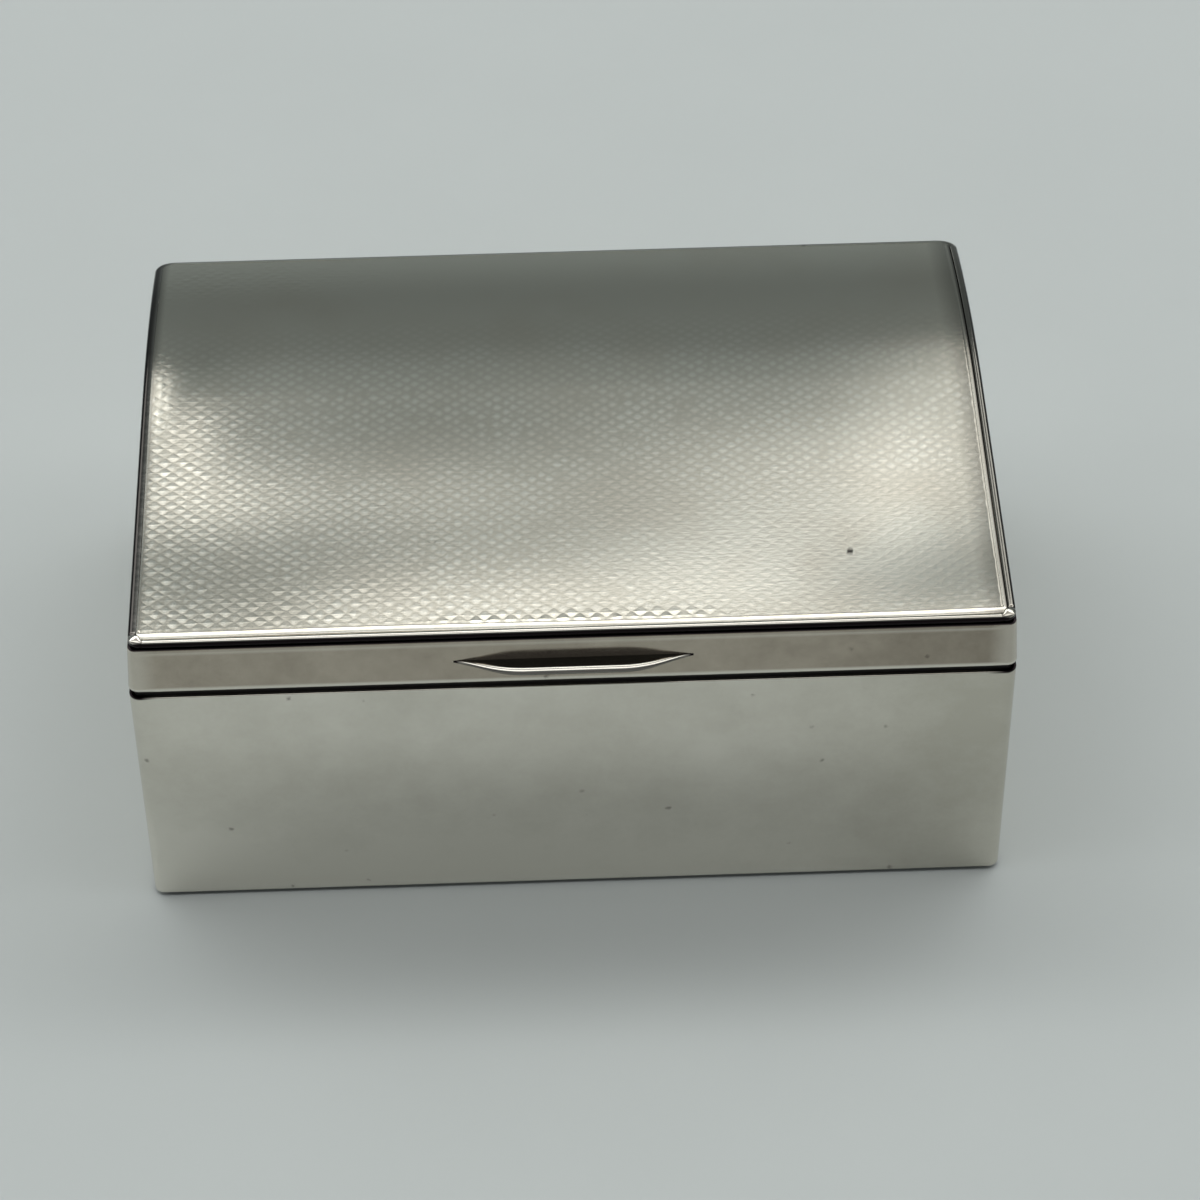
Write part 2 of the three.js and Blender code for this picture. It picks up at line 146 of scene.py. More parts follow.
def add_piece(name, mesh, material, body, slot, *nodes):
    """Puts a mesh in the scene as a piece that stands for these solids, smooth but for hard edges."""
    mesh.shade_smooth()
    mesh.set_sharp_from_angle(angle=SMOOTH_ANGLE)
    mesh.materials.clear()
    mesh.materials.append(material)
    piece = put(name, mesh)
    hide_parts(*nodes)
    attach(piece, body)
    print(name, "for", ", ".join(nodes), "-", len(mesh.polygons), "faces")


def add(tree, kind, inputs=(), **settings):
    """Adds a node; its inputs are values, outputs or nodes, by the socket's name or in order from the top."""
    node = tree.nodes.new(kind if "Node" in kind else "ShaderNode" + kind)
    for name, value in settings.items():
        setattr(node, name, value)
    for socket, value in inputs.items() if isinstance(inputs, dict) else enumerate(inputs):
        if isinstance(value, bpy.types.Node):
            value = next(output for output in value.outputs if not output.is_unavailable)
        if isinstance(value, bpy.types.NodeSocket):
            tree.links.new(value, node.inputs[socket])
        else:
            node.inputs[socket].default_value = value
    return node


def linear(code):
    """An sRGB hex colour as the linear colour that a shader takes."""
    parts = [int(code[i:i + 2], 16) / 255 for i in (1, 3, 5)]
    return [c / 12.92 if c <= 0.04045 else ((c + 0.055) / 1.055) ** 2.4 for c in parts] + [1.0]


def new_material(name):
    """An empty node material, a helper to add nodes to it, and the coordinates of its piece."""
    material = bpy.data.materials.new(name)
    material.use_nodes = True
    material.node_tree.nodes.clear()
    node = partial(add, material.node_tree)
    return material, node, node("TexCoord").outputs["Object"]


print("edges sharper than", round(math.degrees(SMOOTH_ANGLE)), "degrees stay hard")

# %% [markdown]
# ## Polished silver
#
# Sterling silver, planished and buffed, then handled for many years. To the eye it is a slightly warm
# mirror: its reflections are soft at the edge, they waver a little where the sheet isn't quite flat,
# and hair-fine scratches and clouds of thin tarnish dull it here and there. So the shader is a metal
# with a low roughness, clouded by noise some 20 mm across, with scratches as fine streaks in the
# roughness, a few dark pits and a faint, broad bump for the wavering. It is duller towards the right
# end, and lighter towards the foot: a painted light for the floor that the foot reflects. Two marks on
# the meshes paint light and shade: one paints highlights, and one paints shade nearly black.

# %% Silver
# tints for painted highlights, for painted shade (and the plate's one real pit), and for real pits
HIGHLIGHT_TINT, SHADE_AND_PIT_BLACK, PIT_BROWN = "#dedacf", "#1d181a", "#2c2724"
# duller towards the right end; lighter towards the foot, a painted light for the floor that the foot reflects
DULLER_RIGHT_END = ("X", 25, 65, 0.4, 1.0)
LIGHTER_FOOT = ("Z", 4, 26, -0.4, 0.0)


def silver_material(name, bright, dull, roughness, cloud_mm, film):
    """Polished silver, clouded with tarnish of a given size; a film of it hides a little of the metal."""
    material, node, place = new_material(name)
    clouds = node("TexNoise", {
        "Vector": place, "Scale": 1 / (cloud_mm * MM), "Detail": 8.0, "Roughness": 0.72})
    cover = node("MapRange", (clouds, 0.36, 0.7, -0.25, 0.25))
    spot = node("SeparateXYZ", (place,))
    right_end, foot_light = [
        node("MapRange", (spot.outputs[axis], start * MM, stop * MM, first, last),
             interpolation_type="SMOOTHSTEP")
        for axis, start, stop, first, last in (DULLER_RIGHT_END, LIGHTER_FOOT)]
    dulled = node("Math", (right_end, foot_light), operation="ADD")
    amount = node("Math", (dulled, cover), operation="ADD", use_clamp=True)
    rubbed, recess = [
        node("Attribute", attribute_name=mark).outputs["Fac"] for mark in ("rubbed", "recess")]
    ragged = node("TexNoise", {"Vector": place, "Scale": 1 / (0.7 * MM), "Detail": 2.0})
    nudge = [0.9 * MM] * 3
    nudged = node("VectorMath", (ragged.outputs["Color"], nudge, place), operation="MULTIPLY_ADD")
    pits = node("TexVoronoi", {"Vector": nudged, "Scale": 1 / (7.5 * MM)})
    pit = node("MapRange", (pits, 0.025, 0.075, 0.5, 0.0))
    colour = linear(bright)
    # in turn: tarnish clouds, painted highlights, painted shade that goes nearly black, and real pits
    for share, tint in ((amount, dull), (rubbed, HIGHLIGHT_TINT), (recess, SHADE_AND_PIT_BLACK), (pit, PIT_BROWN)):
        colour = node("Mix", {"Factor": share, "A": colour, "B": linear(tint)}, data_type="RGBA")
    streaks = node("Mapping", {"Vector": place, "Rotation": (0.3, 0.2, 0.15), "Scale": (0.05, 0.6, 1.0)})
    scratches = node("TexNoise", {"Vector": streaks, "Scale": 1 / (0.5 * MM), "Detail": 3.0})
    rough = node("MapRange", (scratches, 0.35, 0.75, roughness, roughness + 0.08))
    waver = node("TexNoise", {"Vector": place, "Scale": 1 / (30 * MM), "Detail": 1.0})
    bump = node("Bump", {"Height": waver, "Distance": 0.015 * MM})
    shader = node("BsdfPrincipled", {
        "Base Color": colour, "Metallic": 1 - film, "Roughness": rough, "Normal": bump})
    node("OutputMaterial", {"Surface": shader})
    return material


POLISHED_SILVER = silver_material("polished_silver", "#e7e3d9", "#c3bfb3", 0.1, 22, 0.0)
# for the lid's walls: darker, partly tarnish and partly a painted shade for the dark room they reflect
TARNISHED_SHADED_SILVER = silver_material("tarnished_silver", "#bcb3a4", "#948b7e", 0.13, 7, 0.1)
print("silver:", POLISHED_SILVER.name, TARNISHED_SHADED_SILVER.name)

# %% [markdown]
# ## Cedar, hardwood and brass
#
# The well is lined with bare cedar, planed smooth: dull pinkish brown, with darker late wood in long
# streaks and a faint sheen. Grain follows the length of a board, so there is one cedar for boards that
# lie along the box and one for those that lie across. The outer faces of lining and base, seen only as
# dark lines under the lid and at the foot, are painted black, a painted shade. The base is a board of
# dark stained hardwood with fine pores. The screws are plain brass that has dulled to brown.

# %% Woods and brass
GAP_SHADE_BLACK = "#0d0909"


def wood_material(name, early, late, ring_mm, grain, roughness, painted_shade):
    """Wood with streaks along its grain; painted shade makes it black outside the lining's visible faces."""
    material, node, place = new_material(name)
    drawn = node("Mapping", {"Vector": place, "Scale": [0.04 if axis == grain else 1.0 for axis in "xyz"]})
    rings = node("TexNoise", {"Vector": drawn, "Scale": 1 / (ring_mm * MM), "Detail": 4.0, "Distortion": 0.6})
    fibres = node("TexNoise", {"Vector": drawn, "Scale": 1 / (0.35 * MM), "Detail": 2.0})
    late_wood = node("MapRange", (rings, 0.4, 0.66))
    streaked = node("Mix", {"Factor": late_wood, "A": linear(early), "B": linear(late)}, data_type="RGBA")
    pore = node("MapRange", (fibres, 0.55, 0.75, 0.0, 0.35))
    colour = node("Mix", {"Factor": pore, "A": streaked, "B": linear(late)}, data_type="RGBA")
    spot = node("SeparateXYZ", (place,))
    # painted shade: faces beyond these limits go black, for the dark gaps
    past = []
    for axis, limit in zip("XY", painted_shade):
        away = node("Math", (spot.outputs[axis],), operation="ABSOLUTE")
        past.append(node("Math", (away, limit * MM), operation="GREATER_THAN"))
    outside = node("Math", past, operation="MAXIMUM")
    gap_shaded = node("Mix", {"Factor": outside, "A": colour, "B": linear(GAP_SHADE_BLACK)}, data_type="RGBA")
    bump = node("Bump", {"Height": fibres, "Strength": 0.6, "Distance": 0.04 * MM})
    shader = node("BsdfPrincipled", {"Base Color": gap_shaded, "Roughness": roughness, "Normal": bump})
    node("OutputMaterial", {"Surface": shader})
    return material


def brass_material():
    """Brass, clouded by handling."""
    material, node, place = new_material("dulled_brass")
    clouds = node("TexNoise", {"Vector": place, "Scale": 1 / (0.9 * MM), "Detail": 4.0})
    colour = node("Mix", {"Factor": clouds, "A": linear("#c9a860"), "B": linear("#7d6233")}, data_type="RGBA")
    rough = node("MapRange", (clouds, 0.0, 1.0, 0.25, 0.5))
    shader = node("BsdfPrincipled", {"Base Color": colour, "Metallic": 1.0, "Roughness": rough})
    node("OutputMaterial", {"Surface": shader})
    return material


LINING_FACES = (68.7, 46.7)
BASE_FACES = (68.8, 46.8)
CEDAR_ALONG = wood_material("cedar_along", "#a8714a", "#7a4528", 3.2, "x", 0.55, LINING_FACES)
CEDAR_ACROSS = wood_material("cedar_across", "#a8714a", "#7a4528", 3.2, "y", 0.55, LINING_FACES)
HARDWOOD = wood_material("dark_hardwood", "#5b3a26", "#3a2217", 1.8, "x", 0.4, BASE_FACES)
BRASS = brass_material()
print("woods and brass:", CEDAR_ALONG.name, CEDAR_ACROSS.name, HARDWOOD.name, BRASS.name)

# %% [markdown]
# ## Walls bent from sheet
#
# The tray and the lid are each one strip of sheet, bent round four corners. A bevelled cube could
# pass for them from afar, but the bright line along a polished rim comes from how its edge is eased.
# So a wall is drawn as a maker would: the section of the sheet, with rounded lips, is carried round
# the outline of the box. A point of the section is given by its distance from the outer face, by
# whether it belongs to the foot or to the head of the wall, and by its height from there.

# %% Outline and sweep
CORNER_TURNS = (0, 6, 12, 18, 26, 35, 45, 55, 64, 72, 78, 84, 90)
HOLD = 0.25


def outline(half_width, half_depth, front_radius, back_radius, cuts=()):
    """Points round a rectangle with rounded corners, each with the direction that faces outwards."""
    path = []
    sides = (((1, 1), (0, 1)), ((-1, 1), (-1, 0)), ((-1, -1), (0, -1)), ((1, -1), (1, 0)))
    radii = (back_radius, back_radius, front_radius, front_radius, back_radius)
    for quarter, (corner, out) in enumerate(sides):
        radius = radii[quarter]
        for turn in CORNER_TURNS:
            angle = math.radians(90 * quarter + turn)
            around = (math.cos(angle), math.sin(angle))
            path.append((
                corner[0] * (half_width - radius) + radius * around[0],
                corner[1] * (half_depth - radius) + radius * around[1], *around))
        along = (-out[1], out[0])
        half, away = (half_width, half_depth) if out[0] == 0 else (half_depth, half_width)
        start, stop = radius - half, half - radii[quarter + 1]
        stations = [start + HOLD, stop - HOLD, *np.linspace(start + 3, stop - 3, int(2 * half / 3))]
        stations += [along[1] * cut for cut in cuts if along[1]]
        for station in sorted(stations):
            path.append((out[0] * away + along[0] * station, out[1] * away + along[1] * station, *out))
    return path


def carry_round(path, section, place):
    """Carries a closed section round a closed path; place gives each point of the net."""
    points = [place(spot, corner) for spot in path for corner in section]
    count, rounds = len(section), len(path)
    faces = [
        (i * count + j, (i + 1) % rounds * count + j,
         (i + 1) % rounds * count + (j + 1) % count, i * count + (j + 1) % count)
        for i in range(rounds) for j in range(count)]
    return points, faces


def sheet_section(lip, steps=()):
    """Section of a sheet wall with rounded lips: up the outside, down the inside, round the foot."""
    turns = [i * math.pi / 8 for i in range(5)]
    outer = [(0, drop) for drop in (*steps, lip + HOLD)]
    outer += [(-lip * (1 - math.cos(a)), lip * (1 - math.sin(a))) for a in turns]
    over = outer + [(-SHEET - offset, drop) for offset, drop in reversed(outer)]
    head = [(offset, 1, -drop) for offset, drop in over]
    return head + [(offset, 0, drop) for offset, drop in reversed(over)]


print("a corner of the outline turns in", len(CORNER_TURNS) - 1, "steps")

# %% [markdown]
# ## The body
#
# Plain walls, straight up. At the back the wall is cut lower over the whole width, to let the hinge
# tube in. The rim gets a lip of 0.18 mm, which catches the light along its edge; at the corners it is
# painted black, and so is the foot, a painted shade.

# %% Body walls
CUT_BACK = HINGE_Y - HINGE_RELIEF
STEP = 0.03
CUTS = (CUT_BACK - STEP, CUT_BACK + STEP)
PATH = outline(BOX_WIDTH / 2, BOX_DEPTH / 2, CORNER_RADIUS, CORNER_RADIUS, CUTS)


def body_point(spot, corner):
    x, y, out_x, out_y = spot
    offset, head, height = corner
    rim = HINGE_Z - HINGE_RELIEF if y > CUT_BACK else BODY_RIM
    return x + out_x * offset, y + out_y * offset, (rim if head else FOOT_GAP) + height


def at_corner(x, y):
    """Whether a point of the outline lies on a corner or right beside it."""
    beside = CORNER_RADIUS + 2 * HOLD
    return abs(x) > BOX_WIDTH / 2 - beside and abs(y) > BOX_DEPTH / 2 - beside


BODY_LIP = 0.18
# painted shade: the body's rim at the corners and its foot go black
RIM_SHADE, FOOT_SHADE = 0.25, 0.05
body_section = sheet_section(BODY_LIP)
body_shade = [
    float(height > -RIM_SHADE and at_corner(x, y) if head else height < FOOT_SHADE)
    for x, y, out_x, out_y in PATH for offset, head, height in body_section]
body_mesh = mesh_from("body_walls", *carry_round(PATH, body_section, body_point), recess=body_shade)
add_piece("body_walls", body_mesh, POLISHED_SILVER, "body", "silver", "body_band")

# %% [markdown]
# ## The lid's walls
#
# The same strip again, but it leans in by a few degrees, its head follows the arch, and its back corners
# grow rounder towards the head, so it is drawn between two outlines. The lid is handled more than the
# tray, and its low walls take a duller silver: partly tarnish, partly a painted shade for the dark room
# in front that they reflect. The rim, the corners and a line under the moulding carry painted highlights.
# The head of the wall, right under the moulding, and its rim at the corners carry painted shade.

# %% Lid walls
BACK_RADIUS = 3.0
LID_LIP = 0.3
LID_STEPS = (3.5, 2.2, 1.3, 1.0, 0.75)
# painted highlights on the lid's wall: under the moulding, along the rim, at the corners and round the bends
UNDER_BEAD_HIGHLIGHT = ((0.5, 0.75, 1.3), (0, 0.45, 0))
RIM_HIGHLIGHT = ((0.55, 1.0), (0.9, 0))
CORNER_HIGHLIGHT, BEND_HIGHLIGHT = 0.45, 1.2
# painted shade on the lid's wall: its head under the moulding, and its rim at the corners
HEAD_SHADE = 0.1
HEAD_PATH = outline(BOX_WIDTH / 2, BOX_DEPTH / 2, CORNER_RADIUS, BACK_RADIUS, CUTS)
LID_PATH = list(zip(PATH, HEAD_PATH))


def lid_point(spots, corner):
    (x, y, out_x, out_y), head_spot = spots
    offset, head, height = corner
    foot = HINGE_Z + HINGE_RELIEF if y > CUT_BACK else LID_RIM
    z = (LID_SEAT + float(arch_lift(head_spot[1] - out_y * LID_DRAFT)) if head else foot) + height
    share = min(1, max(0, (z - LID_RIM) / (LID_SEAT - LID_RIM)))
    offset -= lean(z)
    x += share * (head_spot[0] - x) + out_x * offset
    y += share * (head_spot[1] - y) + out_y * offset
    return x, y, z


def lid_highlight(spots, corner):
    """How bright the lid's wall is painted as a highlight: along its rim, under the moulding and towards its
    corners.
    """
    x, y, out_x, out_y = spots[0]
    offset, head, height = corner
    along = np.interp(-height, *UNDER_BEAD_HIGHLIGHT) if head else np.interp(height, *RIM_HIGHLIGHT)
    return float(max(along, CORNER_HIGHLIGHT * at_corner(x, y), BEND_HIGHLIGHT * abs(out_x * out_y)))


def lid_shade(spots, corner):
    """Where the wall is painted as shade: the head of the wall, and its rim at the corners."""
    offset, head, height = corner
    return float(height > -HEAD_SHADE if head else height < RIM_SHADE and at_corner(*spots[0][:2]))


lid_section = sheet_section(LID_LIP, LID_STEPS)
lid_mesh = mesh_from(
    "lid_walls", *carry_round(LID_PATH, lid_section, lid_point),
    recess=[lid_shade(spots, corner) for spots in LID_PATH for corner in lid_section],
    rubbed=[lid_highlight(spots, corner) for spots in LID_PATH for corner in lid_section])
add_piece("lid_walls", lid_mesh, TARNISHED_SHADED_SILVER, "lid", "silver", "lid_band")

# %% [markdown]
# ## The bead moulding
#
# A round wire runs round the top of the lid's walls and holds the plate in. Four lengths are soldered
# at the corners. In front the joints are filed to small knobs with a facet on top and a notch on each
# side. A curve with a bevel could draw the wire, but it has to follow the arch along the two sides, so
# it is carried round like the walls and then lifted. At the back and on the left it was filed flush with
# the plate. Its lower half is painted black, a painted shade that reaches further up at the sides.

# %% Bead
BEAD_RADIUS = 0.66
BEAD_INSET = 0.1
BEAD_CORNER, BEAD_BACK_CORNER = 2.6, 3.4
PLATE_LEVEL = 57.6
KNOB_SWELL, KNOB_REACH, FACET = 1.42, 24, math.radians(80)
NOTCH_DEPTH, NOTCH_REACH, NOTCH_TURNS = 0.22, 6, (8, 82)
MITRE = 1.3

bead_line = BEAD_INSET + BEAD_RADIUS
bead_path = outline(*(size - bead_line for size in (
    SEAT_HALF_WIDTH, SEAT_HALF_DEPTH, BEAD_CORNER, BEAD_BACK_CORNER)))
bead_angles = np.radians(np.arange(-90, 270, 10))


def knob(out_x, out_y):
    """How far a place lies on a front corner's knob, and how far in the notch beside it."""
    turn = math.degrees(math.atan2(abs(out_y), abs(out_x)))
    if out_y >= 0:
        return 0.0, 0.0
    notch = sum(math.exp(-((turn - at) / NOTCH_REACH) ** 2) for at in NOTCH_TURNS)
    return math.exp(-((turn - 45) / KNOB_REACH) ** 2), notch


def on_end(out_x, out_y):
    """How far a place lies on the end of the lid that out_x faces, and not round a front corner."""
    return max(0, out_x + MITRE * min(0, out_y))


def filed_flat(out_x, out_y):
    """How far the wire is filed flush with the plate: at the back and on the left."""
    return max(0.0, out_y, on_end(-out_x, out_y))


def bead_point(spot, angle):
    x, y, out_x, out_y = spot
    ball, notch = knob(out_x, out_y)
    square = (math.cos(angle - FACET) ** 4 + math.sin(angle - FACET) ** 4) ** -0.25
    radius = BEAD_RADIUS * (1 + ball * (KNOB_SWELL * square - 1) - NOTCH_DEPTH * notch)
    aside, up = math.cos(angle), math.sin(angle)
    flat = filed_flat(out_x, out_y)
    if aside < 0:
        up += flat * (math.copysign(1, up) - up)
    y += out_y * radius * aside
    z = LID_SEAT + SEAM + BEAD_RADIUS + radius * up
    flush = LID_SEAT + SEAM + 2 * BEAD_RADIUS - PLATE_LEVEL
    return x + out_x * radius * aside, y, z - flat * flush * (up + 1) / 2 + float(arch_lift(y))


# degrees up the wire from its outer side where its painted shade is full and gone: in front, more at the
# ends, less on a knob
BEAD_SHADE_FULL, BEAD_SHADE_GONE = (44, 16, -35), (54, 29, -45)
BEAD_SHADE_LEFT = ((60, 100, 170), (0.93, 0.86, 0.5))
BEAD_SHADE_BACK = ((80, 95), (0.75, 0))
BEAD_SHADE_RIGHT, BEAD_SHADE_NOTCH = 0.55, 0.8


def bead_shade(spot, angle):
    """How dark the painted shade is at a point of the wire: below all round, and further up at the sides and
    at the back.
    """
    out_x, out_y = spot[2:]
    ball, notch = knob(out_x, out_y)
    turn = math.degrees(angle)
    limits = [
        front + end * abs(out_x) + on_knob * ball for front, end, on_knob in (BEAD_SHADE_FULL, BEAD_SHADE_GONE)]
    below = np.interp(turn, limits, (1, 0))
    left = on_end(-out_x, out_y) * np.interp(turn, *BEAD_SHADE_LEFT)
    right = BEAD_SHADE_RIGHT * on_end(out_x, out_y)
    back = max(0, out_y) * np.interp(turn, *BEAD_SHADE_BACK)
    return float(max(below, left, right, back, BEAD_SHADE_NOTCH * min(1, notch)))


bead_mesh = mesh_from(
    "bead_moulding", *carry_round(bead_path, bead_angles, bead_point),
    recess=[bead_shade(spot, angle) for spot in bead_path for angle in bead_angles])
add_piece("bead_moulding", bead_mesh, POLISHED_SILVER, "lid", "silver",
          "moulding_front", "moulding_back", "moulding_left", "moulding_right")

# %% [markdown]
# ## Engine turning
#
# The lid is covered with barleycorn, a traditional pattern of the engine turner. The work is held in
# a straight-line engine, and a cam rocks it while a fixed tool cuts one wavy line after another. Each
# line is half a wave out of step with the last, so that two neighbours close up and open out by turns
# and leave a row of grains between them. A bump map could hint at that, but light has to catch on real
# edges. So the pattern is a rule for Geometry Nodes: a grid whose even rows are the cuts and whose odd
# rows are the ridges between them, lower where two cuts come near. Rubbing took least off at the left
# end and along the front, and no line ran quite true. Most of the nodes do sums, so these are written as
# plain lines, and a loop turns each into a node. Each point stores how much tarnish lies on it, for the
# finish, and its row, so that cuts and ridges can be kept as crisp edges.

# %% The engine turning's tree
def new_tree(name, sockets):
    """An empty Geometry Nodes tree with named inputs, a helper to add nodes to it, and those inputs."""
    tree = bpy.data.node_groups.new(name, "GeometryNodeTree")
    for kind, names in sockets.items():
        for socket in names:
            tree.interface.new_socket(socket, in_out="INPUT", socket_type="NodeSocket" + kind)
    tree.interface.new_socket("Geometry", in_out="OUTPUT", socket_type="NodeSocketGeometry")
    node = partial(add, tree)
    return tree, node, node("NodeGroupInput").outputs


def close_tree(tree, geometry, finish):
    """Ends a tree: instances become real mesh and take their material."""
    node = partial(add, tree)
    real = node("GeometryNodeRealizeInstances", {"Geometry": geometry})
    done = node("GeometryNodeSetMaterial", {"Geometry": real, "Material": finish})
    node("NodeGroupOutput", {"Geometry": done})
    print(tree.name, len(tree.nodes), "nodes")
    return tree


SUMS = """
# the net: columns and lines of points, and the row of a point; odd rows are ridges
columns = Cells * Steps + 1
lines = Rows * 2 + 1
pitch = Field_depth / Rows
pitches = y / pitch
count = pitches * 2 + Rows
row = round count
ridge = row % 2
on_cut = 1 - ridge
# the wave, half out of step from one cut to the next
phase = row % 4
odd = phase > 1.5
sign = odd * -2 + 1
cell = Field_width / Cells
along = x / cell
turn = along * circle
swing = cos turn
reach = sign * Wave
wave = reach * swing
# the edges of the field, which stay straight and low
off_x = abs x
last_x = Field_width * 0.4999
edge_x = off_x > last_x
inside_x = 1 - edge_x
off_y = abs y
last_y = Field_depth * 0.4999
edge_y = off_y > last_y
inside_y = 1 - edge_y
inside = inside_x * inside_y
half_depth = Field_depth * 0.5
last_row = pitch * -0.75 + half_depth
end_row = off_y > last_row
# the grains, as they were cut
rise = 0.5 - wave
cap = end_row * -0.5 + 1
height = rise min cap
on_ridge = ridge * inside_x
grain = height * on_ridge
# what is left of them: least at the worn spot, most in the middle of the front row
from_spot = x - Worn_spot
share = from_spot / Worn_reach
away = abs share
aside = away ^ 3
by_place = aside * by_depth + 0.16
middle = Field_width * 0.2
off_middle = off_x / middle
far = off_middle ^ 4
near = 1 - far
front_row = at_front * near
best = by_place max front_row
kept = best * worn
left = grain * kept
depth = 1 - left
clean = worn min 1
bright = grain * clean
stain = 1 - bright
# how a point moves: with the wave, by a shake of the engine, and down
jolt_x = shake_x - 0.5
jolt_y = shake_y - 0.5
play = Waver * inside
move_x = jolt_x * play
shaken_y = jolt_y * play
swung = wave * pitch
free = on_cut * inside_y
move_y = swung * free + shaken_y
sunk = depth * Cut_depth
move_z = sunk * -1
"""
SIGNS = {
    "*": "MULTIPLY", "/": "DIVIDE", "-": "SUBTRACT", "%": "FLOORED_MODULO", "^": "POWER", ">": "GREATER_THAN",
    "min": "MINIMUM", "max": "MAXIMUM", "abs": "ABSOLUTE", "cos": "COSINE", "round": "ROUND"}
BY_DEPTH = (("by_depth", -0.2, 1.0, 0.5), ("at_front", -0.475, 2.4, 0.0))


def engine_turning_tree():
    """The tree that cuts a level field of barleycorn."""
    tree, node, size = new_tree("engine_turning", {
        "Float": (
            "Field width", "Field depth", "Wave", "Cut depth", "Waver", "Wear scale",
            "Worn spot", "Worn reach"),
        "Int": ("Cells", "Rows", "Steps"), "Material": ("Finish",)})
    known = {socket.name.replace(" ", "_"): socket for socket in size}
    known["circle"] = 2 * math.pi
    spot = node("SeparateXYZ", (node("GeometryNodeInputPosition"),))
    wear = node("TexNoise", {"Scale": size["Wear scale"], "Detail": 2.0})
    known["worn"] = node("MapRange", (wear, 0.3, 0.7, 0.0, 1.6))
    slow = node("Math", (size["Wear scale"], 0.55), operation="MULTIPLY")
    rocking = node("TexNoise", {"Scale": slow, "Detail": 0.0})
    shake = node("SeparateXYZ", (rocking.outputs["Color"],))
    for axis in "xy":
        known[axis], known["shake_" + axis] = spot.outputs[axis.upper()], shake.outputs[axis.upper()]
    part = node("Math", (known["y"], size["Field depth"]), operation="DIVIDE")
    for name, reach, front, behind in BY_DEPTH:
        known[name] = node("MapRange", (part, -0.5, reach, front, behind))
    for line in SUMS.splitlines():
        if " = " in line:
            name, equals, *words = line.split()
            sign, values = (words[0], words[1:]) if len(words) == 2 else (words[1], words[::2])
            known[name] = node(
                "Math", [known[value] if value in known else float(value) for value in values],
                operation="MULTIPLY_ADD" if len(words) == 5 else SIGNS[sign])
    net = node("GeometryNodeMeshGrid", {
        "Size X": size["Field width"], "Size Y": size["Field depth"],
        "Vertices X": known["columns"], "Vertices Y": known["lines"]})
    for mark, name in (("cut", "stain"), ("row", "row")):
        net = node("GeometryNodeStoreNamedAttribute", {
            "Geometry": net, "Name": mark, "Value": known[name]}, data_type="FLOAT", domain="POINT")
    offset = node("CombineXYZ", {axis: known["move_" + axis.lower()] for axis in "XYZ"})
    cut = node("GeometryNodeSetPosition", {"Geometry": net, "Offset": offset})
    return close_tree(tree, cut, size["Finish"])


ENGINE_TURNING = engine_turning_tree()

# %% [markdown]
# ## The finish of the turned plate
#
# The same silver, cut by a polished tool and rubbed by years of cleaning. The grains' tops are bright
# and the cuts hold a little tarnish that no cloth reaches, so the stored mark darkens and roughens them.
# Towards the back the pattern sinks into the reflection, and on the right in front a spot is rubbed bare,
# so there the colour goes over to one even tone. A broad cloud of thin tarnish lies over all of it, and a
# very fine bump, drawn out along the box, stands for the hairlines that the cleaning left.

# %% Engine-turned silver
TOP_BRIGHT, TOP_DULL, CUT_DULL = "#f0ede0", "#e1d9c9", "#cec9ba"
BARE_SPOT, BARE_REACH = (40, -32), (48, 17)
BARE_STAIN, EVEN_STAIN, BARE_LEFT = 0.35, 0.74, 0.15
FADE_BACK = 26


def turned_material():
    """Engine-turned silver, with tarnish in its cuts."""
    material, node, place = new_material("engine_turned_silver")
    cut, recess = [
        node("Attribute", attribute_name=mark).outputs["Fac"] for mark in ("cut", "recess")]
    in_cut = node("MapRange", (cut, 0.3, 1.0))
    spot = node("SeparateXYZ", (place,))
    fading = node("MapRange", (spot.outputs["Y"], 0.0, FADE_BACK * MM, 1.0, 0.0))
    (bare_x, bare_y), (along, across) = BARE_SPOT, BARE_REACH
    from_bare = node("Mapping", {
        "Vector": place, "Location": (-bare_x / along, -bare_y / across, 0.0),
        "Scale": (1 / (along * MM), 1 / (across * MM), 0.0)})
    far = node("VectorMath", (from_bare,), operation="LENGTH")
    bare = node("MapRange", (far, 0.3, 1.2, BARE_LEFT, 1.0), interpolation_type="SMOOTHSTEP")
    showing = node("Math", (fading, bare), operation="MULTIPLY")
    even = node("MapRange", (bare, BARE_LEFT, 1.0, BARE_STAIN, EVEN_STAIN))
    stain = node("Mix", {"Factor": showing, "A": even, "B": in_cut}, data_type="FLOAT")
    clouds = node("TexNoise", {"Vector": place, "Scale": 1 / (18 * MM), "Detail": 4.0})
    cover = node("MapRange", (clouds, 0.48, 0.75))
    colour = linear(TOP_BRIGHT)
    # the last mix is painted shade, nearly black, and the plate's one real pit
    for share, tint in ((cover, TOP_DULL), (stain, CUT_DULL), (recess, SHADE_AND_PIT_BLACK)):
        colour = node("Mix", {"Factor": share, "A": colour, "B": linear(tint)}, data_type="RGBA")
    rough = node("MapRange", (cut, 0.0, 1.0, 0.15, 0.17))
    drawn = node("Mapping", {"Vector": place, "Scale": (0.4, 1.0, 1.0)})
    grit = node("TexNoise", {"Vector": drawn, "Scale": 1 / (0.5 * MM), "Detail": 2.0})
    bump = node("Bump", {"Height": grit, "Distance": 0.006 * MM})
    shader = node("BsdfPrincipled", {
        "Base Color": colour, "Metallic": 1.0, "Roughness": rough, "Normal": bump})
    node("OutputMaterial", {"Surface": shader})
    return material


TURNED_SILVER = turned_material()
print("finish:", TURNED_SILVER.name)

